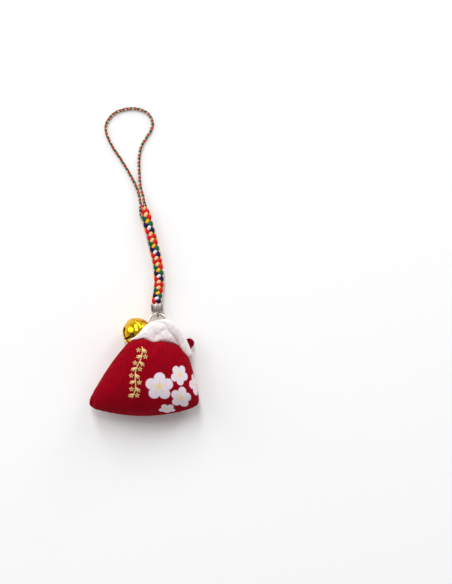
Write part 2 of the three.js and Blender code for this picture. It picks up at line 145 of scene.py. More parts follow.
def smooth_path(points, spacing, fineness=48):
    """Lengths and points every spacing along a Catmull-Rom curve through the given points.

    Between two points it is the cubic whose end tangents are half the chords past each of them.
    """
    p = np.array(points, float)
    far = np.vstack([2 * p[0] - p[1], p, 2 * p[-1] - p[-2]])
    a, b, c, d = (far[i:len(p) - 1 + i, None] for i in range(4))
    t = np.linspace(0, 1, fineness, endpoint=False)[None, :, None]
    fine = b + 0.5 * t * (c - a + t * (2 * a - 5 * b + 4 * c - d + t * (3 * b - a - 3 * c + d)))
    fine = np.vstack([fine.reshape(-1, 3), p[-1:]])
    along = run(fine)
    even = np.linspace(0, along[-1], int(round(along[-1] / spacing)) + 1)
    return even, np.stack([np.interp(even, along, fine[:, k]) for k in range(3)], 1)


def path_frames(path, reference):
    """Side and up of each point of a path: side is square to its tangent and to the reference direction."""
    tangent = unit(np.gradient(path, axis=0))
    side = unit(np.cross(tangent, reference))
    return side, np.cross(side, tangent)


def laid(route, radius):
    """Route of a cord in space, its middle one radius over the surface and its rise."""
    return np.array(route, float) + UP * (floor_gap + radius)


def grid_faces(rows, columns, closed=False):
    """Quads between neighbours of a grid, whose last column joins the first one where it is closed."""
    low = np.arange(rows - 1)[:, None] * columns
    left = np.arange(columns if closed else columns - 1)
    right = (left + 1) % columns
    return np.stack([low + left, low + columns + left, low + columns + right, low + right], -1).reshape(-1, 4)


def lofted(sections, ends=True):
    """Closed sections, one row of points each, joined one to the next, with flat ends where asked."""
    rows, columns = sections.shape[:2]
    faces = grid_faces(rows, columns, closed=True).tolist()
    first = list(range(columns))
    caps = [first, [(rows - 1) * columns + k for k in first[::-1]]] if ends else []
    return sections.reshape(-1, 3), faces + caps


def tube(path, side, up, half_width, half_height, sides, ends=True):
    """Elliptic section carried along a path: middle + w cos a side + h sin a up.

    The first point of each section lies on its lower side, where a join shows least.
    """
    a = (np.arange(sides)[:, None] / sides - 0.25) * TURN
    side, up = (np.broadcast_to(way, path.shape)[:, None] for way in (side, up))
    w, h = (np.broadcast_to(half, len(path))[:, None, None] for half in (half_width, half_height))
    return lofted(path[:, None] + np.cos(a) * side * w + np.sin(a) * up * h, ends)


def wire_eye(middle, across, ahead, steps=73, sides=20):
    """Round eye of wire: a tube along middle + r (cos a across + sin a ahead)."""
    a = np.linspace(0, TURN, steps)[:, None]
    out = np.cos(a) * across + np.sin(a) * ahead
    side = np.cross(across, ahead)
    return tube(middle + eye_radius * out, side, out, eye_wire, eye_wire, sides, ends=False)


def turned(profile, columns):
    """Profile of radius and height turned round Z: (r cos a, r sin a, z)."""
    r, z = np.array(profile, float).T[:, :, None, None]
    return lofted(r * level(turn_steps(columns)) + z * UP, ends=False)


def together(*shapes):
    """Several shapes, each points and faces, as one."""
    starts = np.cumsum([0] + [len(points) for points, _ in shapes])
    faces = [[k + start for k in face] for (_, faces), start in zip(shapes, starts) for face in faces]
    return np.vstack([points for points, _ in shapes]), faces


def turn(axis, degrees):
    """Matrix of a turn about one of the axes, 0 to 2."""
    i, j = (axis + 1) % 3, (axis + 2) % 3
    c, s = circle(math.radians(degrees))
    matrix = np.eye(3)
    matrix[[i, i, j, j], [i, j, i, j]] = c, -s, s, c
    return matrix


# Pieces

def adjust(thing, **settings):
    """Sets several settings of a thing in turn."""
    for key, value in settings.items():
        setattr(thing, key, value)


def add_object(name, data):
    """New object of the scene, at the origin."""
    made = bpy.data.objects.new(name, data)
    bpy.context.scene.collection.objects.link(made)
    return made


def add_mesh(name, shape, scale=MM):
    """Mesh object from points in millimetres and faces."""
    mesh = bpy.data.meshes.new(name)
    mesh.from_pydata((shape[0] * scale).tolist(), [], shape[1])
    return add_object(name, mesh)


def add_piece(name, shape, body, material, replaces=(), closed=True, sharp=40):
    """Smooth piece that rides on a body. A closed one has its doubles merged and faces outwards."""
    piece = add_mesh(name, shape)
    mesh = piece.data
    mesh.validate()
    if closed:
        face_out(mesh)
    mesh.polygons.foreach_set("use_smooth", np.ones(len(mesh.polygons), bool))
    mesh.set_sharp_from_angle(angle=math.radians(sharp))
    mesh.materials.append(material)
    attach(piece, body)
    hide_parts(*replaces)
    return piece


def face_out(mesh):
    """Merges doubled points and turns the faces of a closed mesh outwards."""
    work = bmesh.new()
    work.from_mesh(mesh)
    bmesh.ops.remove_doubles(work, verts=work.verts, dist=1e-4 * MM)
    bmesh.ops.recalc_face_normals(work, faces=work.faces)
    work.to_mesh(mesh)
    work.free()


def read(items, key, width, kind=np.float32):
    """One number or row of numbers of each item of a mesh."""
    values = np.empty(len(items) * width, kind)
    items.foreach_get(key, values)
    return values.reshape(-1, width)


def add_numbers(piece, name, values):
    """Point attribute: a vector of three numbers or a colour of four."""
    kind, key = {3: ("FLOAT_VECTOR", "vector"), 4: ("FLOAT_COLOR", "color")}[values.shape[1]]
    attribute = piece.data.attributes.new(name, kind, "POINT")
    attribute.data.foreach_set(key, values.astype(np.float32).ravel())


def add_cloth_map(piece, corners):
    """UV map in millimetres, one pair of numbers for each corner of each face in turn."""
    layer = piece.data.uv_layers.new(name="cloth")
    layer.data.foreach_set("uv", corners.astype(np.float32).ravel())


def modify(piece, kind, **settings):
    """Adds a modifier with its settings."""
    adjust(piece.modifiers.new(kind.lower(), kind), **settings)


def subdivide(piece):
    """Adds one smooth subdivision, the same in the view and in the render."""
    modify(piece, "SUBSURF", levels=1, render_levels=1)


# Finishes

def operators(operation):
    """Operator of a Value that adds a Math node, and its reflected form."""
    def forward(self, other):
        return self.math(operation, self, other)

    def reflected(self, other):
        return self.math(operation, other, self)

    return forward, reflected


class Value:
    """Output of a node. Arithmetic on it adds Math nodes."""
    __add__, __radd__ = operators("ADD")
    __sub__, __rsub__ = operators("SUBTRACT")
    __mul__, __rmul__ = operators("MULTIPLY")
    __truediv__, __rtruediv__ = operators("DIVIDE")
    __pow__, __rpow__ = operators("POWER")
    most = operators("MAXIMUM")[0]

    def __init__(self, nodes, socket):
        self.nodes = nodes
        self.socket = socket

    def math(self, operation, *terms):
        """Math node of an operation on its terms."""
        return self.nodes.node("ShaderNodeMath", {"operation": operation}, dict(enumerate(terms)))

    def sin(self):
        return self.math("SINE", self)

    def size(self):
        return self.math("ABSOLUTE", self)

    def step(self, low, high):
        """0 below low, 1 above high, smooth between."""
        return self.nodes.node("ShaderNodeMapRange", {"interpolation_type": "SMOOTHSTEP"},
                               {0: self, 1: low, 2: high})

    def within(self, radius, edge):
        """1 inside a radius and 0 outside it, smooth over an edge to both sides."""
        return 1 - self.step(radius - edge, radius + edge)


class Nodes:
    """Nodes of a material or of the world."""

    def __init__(self, tree):
        self.tree = tree

    def feed(self, socket, value):
        """Links a Value to a socket, or sets a number, vector or colour on it."""
        if isinstance(value, Value):
            self.tree.links.new(value.socket, socket)
        else:
            socket.default_value = value

    def node(self, kind, settings=None, inputs=None, output=0):
        """Adds a node: its settings first, then the values or links of its sockets."""
        made = self.tree.nodes.new(kind)
        adjust(made, **(settings or {}))
        for key, value in (inputs or {}).items():
            self.feed(made.inputs[key], value)
        return Value(self, made.outputs[output])


class Finish(Nodes):
    """A material: its Principled shader and the nodes that feed it."""

    def __init__(self, name, **constants):
        self.material = bpy.data.materials.new(name)
        self.material.use_nodes = True
        super().__init__(self.material.node_tree)
        self.shader = self.tree.nodes["Principled BSDF"]
        for key, value in constants.items():
            self.set(key.replace("_", " "), value)

    def set(self, socket, value):
        self.feed(self.shader.inputs[socket], value)

    def place(self):
        """Object coordinates in millimetres."""
        spot = self.node("ShaderNodeTexCoord", output="Object")
        return self.node("ShaderNodeVectorMath", {"operation": "SCALE"}, {0: spot, "Scale": 1 / MM})

    def attribute(self, name, output="Vector"):
        return self.node("ShaderNodeAttribute", {"attribute_name": name}, output=output)

    def split(self, vector):
        """The three numbers of a vector."""
        return [self.node("ShaderNodeSeparateXYZ", inputs={0: vector}, output=k) for k in range(3)]

    def vector(self, x, y):
        return self.node("ShaderNodeCombineXYZ", inputs={0: x, 1: y})

    def stretched(self, vector, scale, rotation=(0, 0, 0)):
        return self.node("ShaderNodeMapping", inputs={"Vector": vector, "Rotation": rotation, "Scale": scale})

    def noise(self, vector, scale, detail=2.0, rough=0.5):
        return self.node("ShaderNodeTexNoise", inputs={
            "Vector": vector, "Scale": scale, "Detail": detail, "Roughness": rough})

    def mix(self, share, first, second, blend="MIX"):
        """Colour between two colours."""
        return self.node("ShaderNodeMix", {"data_type": "RGBA", "blend_type": blend},
                         {0: share, 6: first, 7: second}, 2)

    def done(self, colour, height, depth, strength):
        """The material with its colour and a bump: a height from 0 to 1 over a depth in millimetres."""
        self.set("Base Color", colour)
        self.set("Normal", self.node("ShaderNodeBump", inputs={
            "Strength": strength, "Distance": depth * MM, "Height": height}))
        return self.material


def paint(red, green, blue):
    """Colour as written on screen, 0 to 255, turned into the shader's linear numbers."""
    screen = np.array([red, green, blue]) / 255
    linear = np.where(screen <= 0.04045, screen / 12.92, ((screen + 0.055) / 1.055) ** 2.4)
    return (*linear.tolist(), 1.0)


# Colours
# The deep red of the cloth is its darker yarns together with painted shade in the gaps of the weave.
# The third red, for the back corner tab, is darker as painted shade under the collar.
cloth_red, cloth_dark_yarn_and_gap_shade, ear_red_painted_shade = paint(170, 2, 27), paint(70, 0, 5), paint(146, 2, 22)
print_white, print_yellow, print_shade = paint(238, 229, 240), paint(246, 222, 150), paint(196, 150, 168)
crepe_white, crepe_shade = paint(248, 243, 242), paint(245, 238, 237)
stitch_gold, stitch_shade = paint(255, 240, 176), paint(200, 138, 58)
brass_gold, brass_dark = paint(236, 184, 32), paint(150, 92, 8)
steel_bright, steel_dull = paint(236, 234, 231), paint(170, 160, 153)
cotton_white, cotton_shade = paint(238, 232, 226), paint(206, 198, 190)
wadding_white, wadding_shade = paint(243, 241, 236), paint(222, 218, 210)
paper_white, paper_shade = paint(238, 228, 206), paint(222, 208, 178)
cord_core = paint(60, 30, 30)
braid_colours = {
    "falling": [paint(30, 8, 72), paint(4, 94, 62), paint(214, 14, 12), paint(214, 14, 12)],
    "rising": [paint(240, 234, 246), paint(252, 210, 148), paint(252, 210, 148), paint(255, 190, 14)],
}
loop_colours = {
    "falling": [paint(186, 34, 42), paint(14, 72, 44)],
    "rising": [paint(238, 230, 222), paint(216, 176, 92)],
}

# Printed flowers: middle on the cloth, radius and turn
blossoms = [
    ((3.6, -2.6), 3.7, 0.3), ((9.3, 0.4), 2.7, 1.0), ((9.4, -5.6), 3.0, 0.1),
    ((15.2, -2.2), 2.9, 0.6), ((5.6, -9.6), 2.2, 0.9),
]
petal_out, petal_size, core_size, heart_size = 0.6, 0.4, 0.39, 0.175
ray_length, ray_half_width = 0.55, 0.035


def blossom(finish, x, y, middle, radius, bearing):
    """Masks of a five-petalled flower and of its heart, in shares of its radius.

    The angle round its middle is folded into one petal's fifth. A petal is a disc out along that
    fifth's axis, and the heart is a small disc with five short rays.
    """
    c, s = math.cos(bearing), math.sin(bearing)
    dx, dy = x - middle[0], y - middle[1]
    px, py = dx * c + dy * s, dy * c - dx * s
    angle = px.math("ARCTAN2", py, px)
    fifth = TURN / 5
    folded = angle.math("WRAP", angle, fifth / 2, -fifth / 2)
    far = (px * px + py * py) ** 0.5 / radius
    ax, ay = far * folded.math("COSINE", folded), far * folded.sin()
    petal = ((ax - petal_out) ** 2 + ay * ay) ** 0.5
    white = petal.within(petal_size, 0.03).most(far.within(core_size, 0.03))
    ray = ay.size().within(ray_half_width, 0.015) * far.within(ray_length, 0.03)
    return white, far.within(heart_size, 0.025).most(ray)


def pouch_finish(name, colour, flowers):
    """Plain weave with painted shade in the gaps between its threads, and printed white flowers whose edges
    follow the threads and which take the same painted shade.
    """
    finish = Finish(name, Roughness=0.9, Specular_IOR_Level=0.05)
    cloth = finish.node("ShaderNodeUVMap", {"uv_map": "cloth"})
    drift = finish.noise(cloth, 0.35, 3.0)
    u, v, _ = finish.split(cloth)
    pitch = 0.42
    wave_u, wave_v = ((way * (math.pi / pitch) + drift * 1.6).sin() for way in (u, v))
    over = (wave_u * wave_v).step(-0.25, 0.25)
    threads = wave_u.size() * over + wave_v.size() * (1 - over)
    weft = finish.noise(finish.vector(u * 0.35, v * 2.6), 1.0)
    warp = finish.noise(finish.vector(u * 2.6, v * 0.35), 1.0)
    # Thread crests take the cloth's colour and the gaps between threads a darker red: painted shade in the
    # gaps, mixed with real yarn tone from the noises.
    lit = threads + (weft + warp) * 0.6 + drift * 0.2 - 0.69
    tint = finish.mix(lit, cloth_dark_yarn_and_gap_shade, colour)
    if flowers:
        ragged = finish.noise(cloth, 3.2, 1.0) * 0.24 - 0.12
        masks = [blossom(finish, u + ragged, v + ragged, *flower) for flower in flowers]
        white, heart = (functools.reduce(Value.most, kind) for kind in zip(*masks))
        printed = finish.mix(heart, print_white, print_yellow)
        # Painted shade on the print in the gaps between threads.
        shaded = finish.mix((1 - threads) * 0.28, printed, print_shade)
        tint = finish.mix(white * 0.96, tint, shaded)
    return finish.done(tint, threads + finish.noise(cloth, 9.0, 2.0) * 0.3, 0.05, 0.7)


def crepe_finish():
    """White crepe: crossed crinkles, with painted shade that greys their hollows a little."""
    finish = Finish("collar_crepe", Roughness=0.9, Specular_IOR_Level=0.15)
    spot = finish.place()
    weft = finish.noise(finish.stretched(spot, (2.0, 0.8, 1.2), (0, 0, 0.6)), 1.0, 3.0, 0.6)
    warp = finish.noise(finish.stretched(spot, (0.9, 2.2, 1.2), (0, 0, -0.5)), 1.0, 3.0, 0.6)
    crinkle = weft * 0.6 + warp * 0.4
    # Painted shade: the low parts of the crinkles get the greyer colour.
    colour = finish.mix(crinkle.step(0.35, 0.62), crepe_shade, crepe_white)
    return finish.done(colour, crinkle + finish.noise(spot, 9.0, 2.0) * 0.2, 0.28, 0.9)


def strand_finish(name, fibres):
    """Cord of coloured strands: colour from each strand, with fine fibres along it."""
    finish = Finish(name, Roughness=0.6, Specular_IOR_Level=0.2)
    along, around, _ = finish.split(finish.attribute("lay"))
    fibre = (around * fibres + finish.noise(finish.vector(along * 2.0, around * 3.0), 1.0) * 3.0).sin()
    tone = finish.noise(finish.vector(along * 1.5, around * fibres * 0.8), 1.2, 2.0)
    colour = finish.attribute("strand", "Color")
    darker = finish.mix(1.0, colour, (0.62, 0.6, 0.6, 1), "MULTIPLY")
    return finish.done(finish.mix(tone.step(0.25, 0.6), darker, colour), fibre * 0.5 + 0.5, 0.03, 0.6)


def brass_finish():
    """Polished brass with faint wiping marks and duller spots."""
    finish = Finish("bell_brass", Metallic=1.0)
    spot = finish.place()
    streak = finish.noise(finish.stretched(spot, (0.5, 4.0, 0.5), (0.4, 0.2, 0.5)), 1.6, 3.0)
    dull = finish.noise(spot, 0.45, 3.0).step(0.5, 0.75)
    finish.set("Roughness", 0.14 + streak * 0.08 + dull * 0.12)
    return finish.done(finish.mix(dull * 0.35, brass_gold, brass_dark), streak, 0.004, 0.35)


def steel_finish(name, colour, rough, drawn):
    """Plated wire or strip: bright, with drawn lines of its own scale."""
    finish = Finish(name, Metallic=1.0)
    spot = finish.place()
    line = finish.noise(finish.stretched(spot, drawn), 1.0, 3.0)
    worn = finish.noise(spot, 1.3, 3.0).step(0.45, 0.75)
    dark = tuple(0.55 * part for part in colour[:3]) + (1.0,)
    finish.set("Roughness", rough + line * 0.14 + worn * 0.1)
    return finish.done(finish.mix(worn * 0.5, colour, dark), line, 0.012, 0.5)


def stitch_finish():
    """Gilt embroidery thread: partly metallic, with its twist as fine slanting lines, whose ridges are
    painted lighter as a painted highlight and whose grooves get painted shade.
    """
    finish = Finish("gold_thread", Specular_IOR_Level=0.6)
    along, around, _ = finish.split(finish.attribute("lay"))
    twist = (along * 26.0 + (around - 0.25) * TURN).sin()
    ridge = twist * 0.5 + 0.5
    finish.set("Metallic", twist * 0.1 + 0.2)
    finish.set("Roughness", 0.42 - twist * 0.06)
    # Painted highlight on the twist's ridges and painted shade in its grooves.
    return finish.done(finish.mix(ridge, stitch_shade, stitch_gold), ridge, 0.03, 0.6)


def plain_fibre_finish(name, colour, shade, scale, depth):
    """Undyed thread, wadding or paper: cloudy fibres at a scale of its own."""
    finish = Finish(name, Roughness=0.92, Specular_IOR_Level=0.2)
    fibre = finish.noise(finish.place(), scale, 4.0, 0.65)
    return finish.done(finish.mix(fibre.step(0.3, 0.65), shade, colour), fibre, depth, 0.8)


# Camera, light and floor

frame_middle, frame_height = (21.33, 22.4), 155.73
camera_height, sensor = 1600.0, 36.0
lamp_distance = 1.2
table_half = 3000.0


def add_camera():
    """Straight down on the charm, long enough that heights hardly lean."""
    data = bpy.data.cameras.new("camera")
    adjust(data, sensor_width=sensor, lens=sensor * camera_height / frame_height, clip_end=20.0)
    camera = add_object("camera", data)
    camera.location = np.array([*frame_middle, camera_height]) * MM
    bpy.context.scene.camera = camera


def add_softbox(name, way, width, height, share):
    """Flat lamp that lights a level white surface to the given share of white.

    Power is pi^2 d^2 times that share over the cosine of its slant.
    """
    way = unit(np.array(way, float))
    data = bpy.data.lights.new(name, "AREA")
    power = math.pi ** 2 * lamp_distance ** 2 * share / way[2]
    adjust(data, shape="RECTANGLE", size=width, size_y=height, energy=power)
    adjust(add_object(name, data), location=way * lamp_distance, rotation_mode="QUATERNION",
           rotation_quaternion=Vector(way).to_track_quat("Z", "Y"), visible_camera=False)


def add_world(horizon, zenith):
    """Pale room: brighter round the horizon than overhead."""
    world = bpy.data.worlds.new("room")
    world.use_nodes = True
    bpy.context.scene.world = world
    nodes = Nodes(world.node_tree)
    way = nodes.node("ShaderNodeTexCoord", output="Generated")
    height = nodes.node("ShaderNodeSeparateXYZ", inputs={0: way}, output="Z")
    strength = nodes.node("ShaderNodeMapRange", {"interpolation_type": "SMOOTHSTEP"}, {
        "Value": height, "From Max": 0.8, "To Min": horizon, "To Max": zenith})
    background = world.node_tree.nodes["Background"].inputs
    nodes.feed(background["Color"], (1, 1, 1, 1))
    nodes.feed(background["Strength"], strength)


def add_floor():
    """Plain white table top."""
    corners = np.array([[-1, -1, 0], [1, -1, 0], [1, 1, 0], [-1, 1, 0]]) * table_half
    floor = add_mesh("table_top", (corners, [[0, 1, 2, 3]]))
    finish = Finish("table_white", Base_Color=(0.97, 0.97, 0.97, 1), Roughness=0.9, Specular_IOR_Level=0.1)
    floor.data.materials.append(finish.material)


bpy.context.scene.view_settings.view_transform = "Standard"
add_camera()
add_softbox("softbox_left", (-0.76, 0.4, 0.5), width=0.62, height=0.9, share=0.17)
add_softbox("strip_far", (-0.13, 0.66, 0.72), width=0.2, height=1.1, share=0.44)
add_softbox("strip_right", (0.54, 0.72, 0.43), width=0.3, height=0.8, share=0.12)
add_world(horizon=0.52, zenith=0.33)
add_floor()


# Cords and the clip on the braid

strip_bend, strip_steps, flap_rise = 0.34, 8, 0.1
plate_half, plate_power, plate_sides = [1.35, 0.86], 0.4, 48
strand_sides = 12
braid_step, loop_step = 0.1, 0.06
braid_lay, loop_lay = 6.1, 2.0
white_cell = 26.64


def crimp_place(points):
    """From the clip's own frame, its eye at the origin and +Y along the cord, to the charm's."""
    eye = ring_middle + AHEAD * ring_radius
    return np.atleast_2d(points) @ (turn(2, crimp_yaw) @ turn(0, crimp_pitch)).T + eye


def folded_strip():
    """Middle line across the clip's folded strip, from its left wall's top round to the flap's free edge."""
    w, h = (crimp_width - crimp_wall) / 2, (crimp_depth - crimp_wall) / 2
    x, z = w - strip_bend, h - strip_bend
    quarter = np.linspace(0, math.pi / 2, strip_steps)
    bends = [np.array(middle) + strip_bend * circle(quarter + first)
             for middle, first in (((-x, -z), math.pi), ((x, -z), 1.5 * math.pi), ((x, z), 0))]
    flap_end = -crimp_width / 2 + crimp_wall + crimp_slit
    flat = np.linspace(0, 1, strip_steps)[1:, None]
    flap = np.hstack([x + (flap_end - x) * flat, h + flap_rise * np.sin(math.pi * flat) * flat])
    return np.vstack([[[-w, crimp_depth / 2]], *bends, flap])


def along_cord(sections, y):
    """Closed shape of sections across the clip, each at its own place along the cord."""
    x, z = np.moveaxis(sections, -1, 0)
    return lofted(np.stack([x, y[:, None] + 0 * x, z], -1))


def crimp_sleeve():
    """Strip with round edges, carried along the cord and drawn in a little at both ends."""
    line = folded_strip()
    half = crimp_wall / 2
    normal = unit(np.gradient(line, axis=0) @ np.array([[0, -1], [1, 0]])) * half
    a = np.linspace(0, math.pi, 7)[1:-1, None]
    ahead, back = unit(line[-1] - line[-2]) * half, unit(line[0] - line[1]) * half
    far = line[-1] + np.cos(a) * normal[-1] + np.sin(a) * ahead * 0.6
    near = line[0] - np.cos(a) * normal[0] + np.sin(a) * back * 0.6
    loop = np.vstack([line + normal, far, (line - normal)[::-1], near])
    middle = np.vstack([line, 0 * far + line[-1], line[::-1], 0 * near + line[0]])
    share = np.array([0, 0.02, 0.06, 0.5, 0.94, 0.98, 1.0])
    inset = np.array([0.55, 0.85, 1, 1, 1, 0.85, 0.55])[:, None, None]
    return along_cord(middle + (loop - middle) * inset, crimp_foot + share * (crimp_mouth - crimp_foot))


def crimp_end():
    """Rounded plate that closes the sleeve: a superellipse swept through its thickness."""
    plate = squarish(turn_steps(plate_sides), plate_power) * plate_half
    inset = np.array([0.9, 0.96, 1, 1, 0.95])[:, None, None]
    return along_cord(plate * inset, crimp_foot + np.array([-0.02, 0, 0.05, 0.3, 0.35]))


def add_crimp():
    """Fold-over end clip: sleeve, closing plate and eye."""
    points, faces = together(crimp_sleeve(), crimp_end(), wire_eye(0, AHEAD, UP))
    finish = steel_finish("crimp_steel", steel_dull, rough=0.34, drawn=(7.0, 0.8, 1.5))
    return add_piece("cord_end_clip", (crimp_place(points), faces), "strap", finish,
                     ["cord_crimp"], sharp=35)


def lay_of(along, sides):
    """Length along and share around of each point of a tube."""
    around = np.tile(np.arange(sides) / sides, len(along))
    return np.stack([np.repeat(along, sides), around, 0 * around], 1)


def braided(along, path, turns, colours, middle, sway, widths, height, roll, swell):
    """Round braid: strands wind both ways and pass over one and under one, round a core.

    Of n strands each way, strand k stands at the angle 2 pi (-+s + k / n) + roll, at the radius
    middle -+ sway cos(2 pi n s), where s is the number of turns so far. swell scales the section.
    """
    side, up = path_frames(path, UP)
    shapes, shades = [], []
    for way, name, width in ((-1, "falling", widths[0]), (1, "rising", widths[1])):
        count = len(colours[name])
        radius = (middle + way * sway * np.cos(TURN * count * turns)) * swell
        for k, colour in enumerate(colours[name]):
            angle = (TURN * (way * turns + k / count) + roll)[:, None]
            out = np.cos(angle) * up + np.sin(angle) * side
            line = path + out * radius[:, None]
            shapes.append(tube(line, *path_frames(line, out), width * swell, height * swell, strand_sides))
            shades.append(colour)
    core = (middle - sway) * 0.8 * swell
    shapes.append(tube(path, side, up, core, core, strand_sides))
    lay = lay_of(along, strand_sides)
    lays = np.vstack([lay] * len(shades) + [0 * lay])
    return together(*shapes), np.repeat(shades + [cord_core], len(lay), axis=0), lays


def add_cord(name, braid, slot, fibres, node):
    """Braided piece of the strap, with the colours and the lay of its strands as attributes."""
    shape, shades, lays = braid
    piece = add_piece(name, shape, "strap", strand_finish(slot, fibres), [node], closed=False)
    add_numbers(piece, "strand", shades)
    add_numbers(piece, "lay", lays)
    return piece


def add_braid(clip):
    """Eight-strand braid from the clip up to the loop, drawn in at both ends."""
    tail = crimp_place([[0, crimp_foot + 0.75, 0], [0, crimp_mouth + 0.3, 0]])
    along, path = smooth_path(np.vstack([tail, laid(braid_route, braid_radius)]), braid_step)
    left = along[-1] - along
    stretch = 1 - 0.1 * ease(along, 6.0, 2.0) + 0.08 * ease(along, 8.0, 12.0) + 0.1 * ease(left, 9.0, 5.0)
    turns = np.cumsum(np.gradient(along) / (braid_lay * stretch))
    turns -= np.interp(white_cell, path[:, 1], turns)
    pressed = 0.58 + 0.42 * ease(along, 0.5, 2.4)
    tip = 1 - 0.5 * ease(along, along[-1] - 3.0, along[-1])
    braid = braided(along, path, turns, braid_colours, middle=0.83, sway=0.2, widths=(0.77, 0.45),
                    height=0.4, roll=0.0, swell=pressed * tip)
    piece = add_cord("strap_braid_cord", braid, "braid_cord", fibres=40.0, node="strap_braid")


def add_loop():
    """Four-strand cord from inside the braid's end, round the loop and back along the braid's left side."""
    inner = [[0.02, 43.6, 1.0], [-0.2, 44.8, 0.95]]
    outer = [[-1.5, 44.6, 1.02], [-1.46, 43.3, 1.06], [-1.1, 42.1, 0.95]]
    along, path = smooth_path(laid(inner + loop_route + outer, loop_radius), loop_step)
    roll = -np.radians(45) - np.radians(85) * ease(along / along[-1], 0.5, 0.95)
    tip = 1 - 0.45 * ease(along, along[-1] - 1.0, along[-1])
    braid = braided(along, path, along / loop_lay, loop_colours, middle=0.2, sway=0.07, widths=(0.29, 0.17),
                    height=0.14, roll=roll, swell=tip)
    piece = add_cord("strap_loop_cord", braid, "loop_cord", fibres=25.0, node="strap_loop")


add_braid(add_crimp())
add_loop()


# Pouch

corner_pull, corner_power = 0.14, 16
hem_wave, wave_crest, wave_length = 0.28, 0.227, 0.34
mouth_droop = 0.95
hem_right = mouth_right - AHEAD * mouth_droop
pouch_rows, pouch_columns = 81, 97
tab_rows, tab_columns = 40, 32
crown_slack, cloth_spare, cloth_cap = 0.3, 0.035, 0.7
blow_scale, blow_frames = 20, 20
belly_map_shift, tab_map_shift = [200.0, 0.0], [300.0, 0.0]


def edge_line(start, end, bow, share):
    """Edge bowed to the right of its way: start + (end - start) s + 4 bow s (1 - s) outward."""
    along = end - start
    outward = unit(np.array([along[1], -along[0], 0.0]))
    s = np.asarray(share)[..., None]
    return start + along * s + outward * (4 * bow * s * (1 - s))


def on_mouth(share):
    """Mouth's edge from left to right: a bowed line with a wave, drooping at its right end."""
    share = np.asarray(share, float)
    wave = np.cos(TURN * (np.minimum(share, wave_crest + wave_length) - wave_crest) / wave_length)
    wave = hem_wave * wave * ease(share, 0.02, 0.2) * ease(share, 0.92, 0.78)
    rise = wave - mouth_droop * ease(share, 0.8, 1.0)
    return edge_line(mouth_right, mouth_left, mouth_bow, 1 - share) + np.multiply.outer(rise, AHEAD)


def pouch_plan(u, v):
    """Coons patch of the four edges, its corners rounded.

    The square is first drawn in at its corners, each side by the root of 1 - k b^n / 2 of the other.
    """
    a, b = 2 * u - 1, 2 * v - 1
    u = (1 + a * np.sqrt(1 - corner_pull * b ** corner_power / 2)) / 2
    v = (1 + b * np.sqrt(1 - corner_pull * a ** corner_power / 2)) / 2
    bottom = edge_line(left_corner, right_corner, base_sag, u)
    top = on_mouth(u)
    left = edge_line(mouth_left, left_corner, left_bow, 1 - v)
    right = edge_line(right_corner, hem_right, right_bow, v)
    u, v = u[..., None], v[..., None]
    low = left_corner * (1 - u) + right_corner * u
    high = mouth_left * (1 - u) + hem_right * u
    return (bottom - low) * (1 - v) + (top - high) * v + left * (1 - u) + right * u


def seam_round(count=300):
    """Angle, radius and height of the pouch's seam round the origin."""
    t = np.linspace(0, 1, count)
    zero, one = 0 * t, 0 * t + 1
    line = np.vstack([pouch_plan(t, zero), pouch_plan(one, t), pouch_plan(t, one), pouch_plan(zero, t)])
    angle = np.arctan2(line[:, 1], line[:, 0])
    order = np.argsort(angle)
    return angle[order], np.hypot(line[:, 0], line[:, 1])[order], line[order, 2]


seam_angle, seam_radius, seam_height = seam_round()


def pouch_grid(columns, rows):
    """Plan of the pouch on a grid, and a mask of the grid's edges, which lie on the seam."""
    u, v = np.meshgrid(edge_spaced(columns), edge_spaced(rows))
    border = np.ones(u.shape, bool)
    border[1:-1, 1:-1] = False
    return pouch_plan(u, v), border


def pouch_surface(plan, side, border, inset=0.0, slack=0.0):
    """Crown (side 1) or belly (side -1) over points of the plan, lowered by the slack of the cloth.

    With the reach r from the origin to the seam, it is the seam surface, which goes from the middle's
    height to the seam's as r^2, plus or minus the swell (1 - r^p)^e. The belly is cut flat at the table.
    """
    angle = np.arctan2(plan[..., 1], plan[..., 0])
    radius = np.interp(angle, seam_angle, seam_radius, period=TURN) - inset
    seam = np.interp(angle, seam_angle, seam_height, period=TURN)
    reach = np.clip(np.hypot(plan[..., 0], plan[..., 1]) / radius, 0, 1)
    reach = np.where(border, 1, reach)
    seam = np.where(border, plan[..., 2], seam)
    height = middle_height * (1 - reach ** 2) + seam * reach ** 2
    if side > 0:
        swell = (1 - reach ** crown_power) ** crown_ease
        z = eased(height + (crown_rise - inset - slack) * swell, border)
    else:
        swell = (1 - reach ** belly_power) ** belly_ease
        towards = np.clip((seam - left_corner[2]) / (mouth_left[2] - left_corner[2]), 0, None) ** 2
        drop = belly_drop - belly_lift * towards * reach
        z = np.maximum(inset, height - (drop - inset - slack) * swell)
    return np.concatenate([plan[..., :2], z[..., None]], -1)


def eased(heights, border, passes=60):
    """Heights of a grid, each inner one drawn to the mean of its four neighbours again and again."""
    z = heights.copy()
    for _ in range(passes):
        z[1:-1, 1:-1] = (z[2:, 1:-1] + z[:-2, 1:-1] + z[1:-1, 2:] + z[1:-1, :-2]) / 4
    return np.where(border, heights, z)


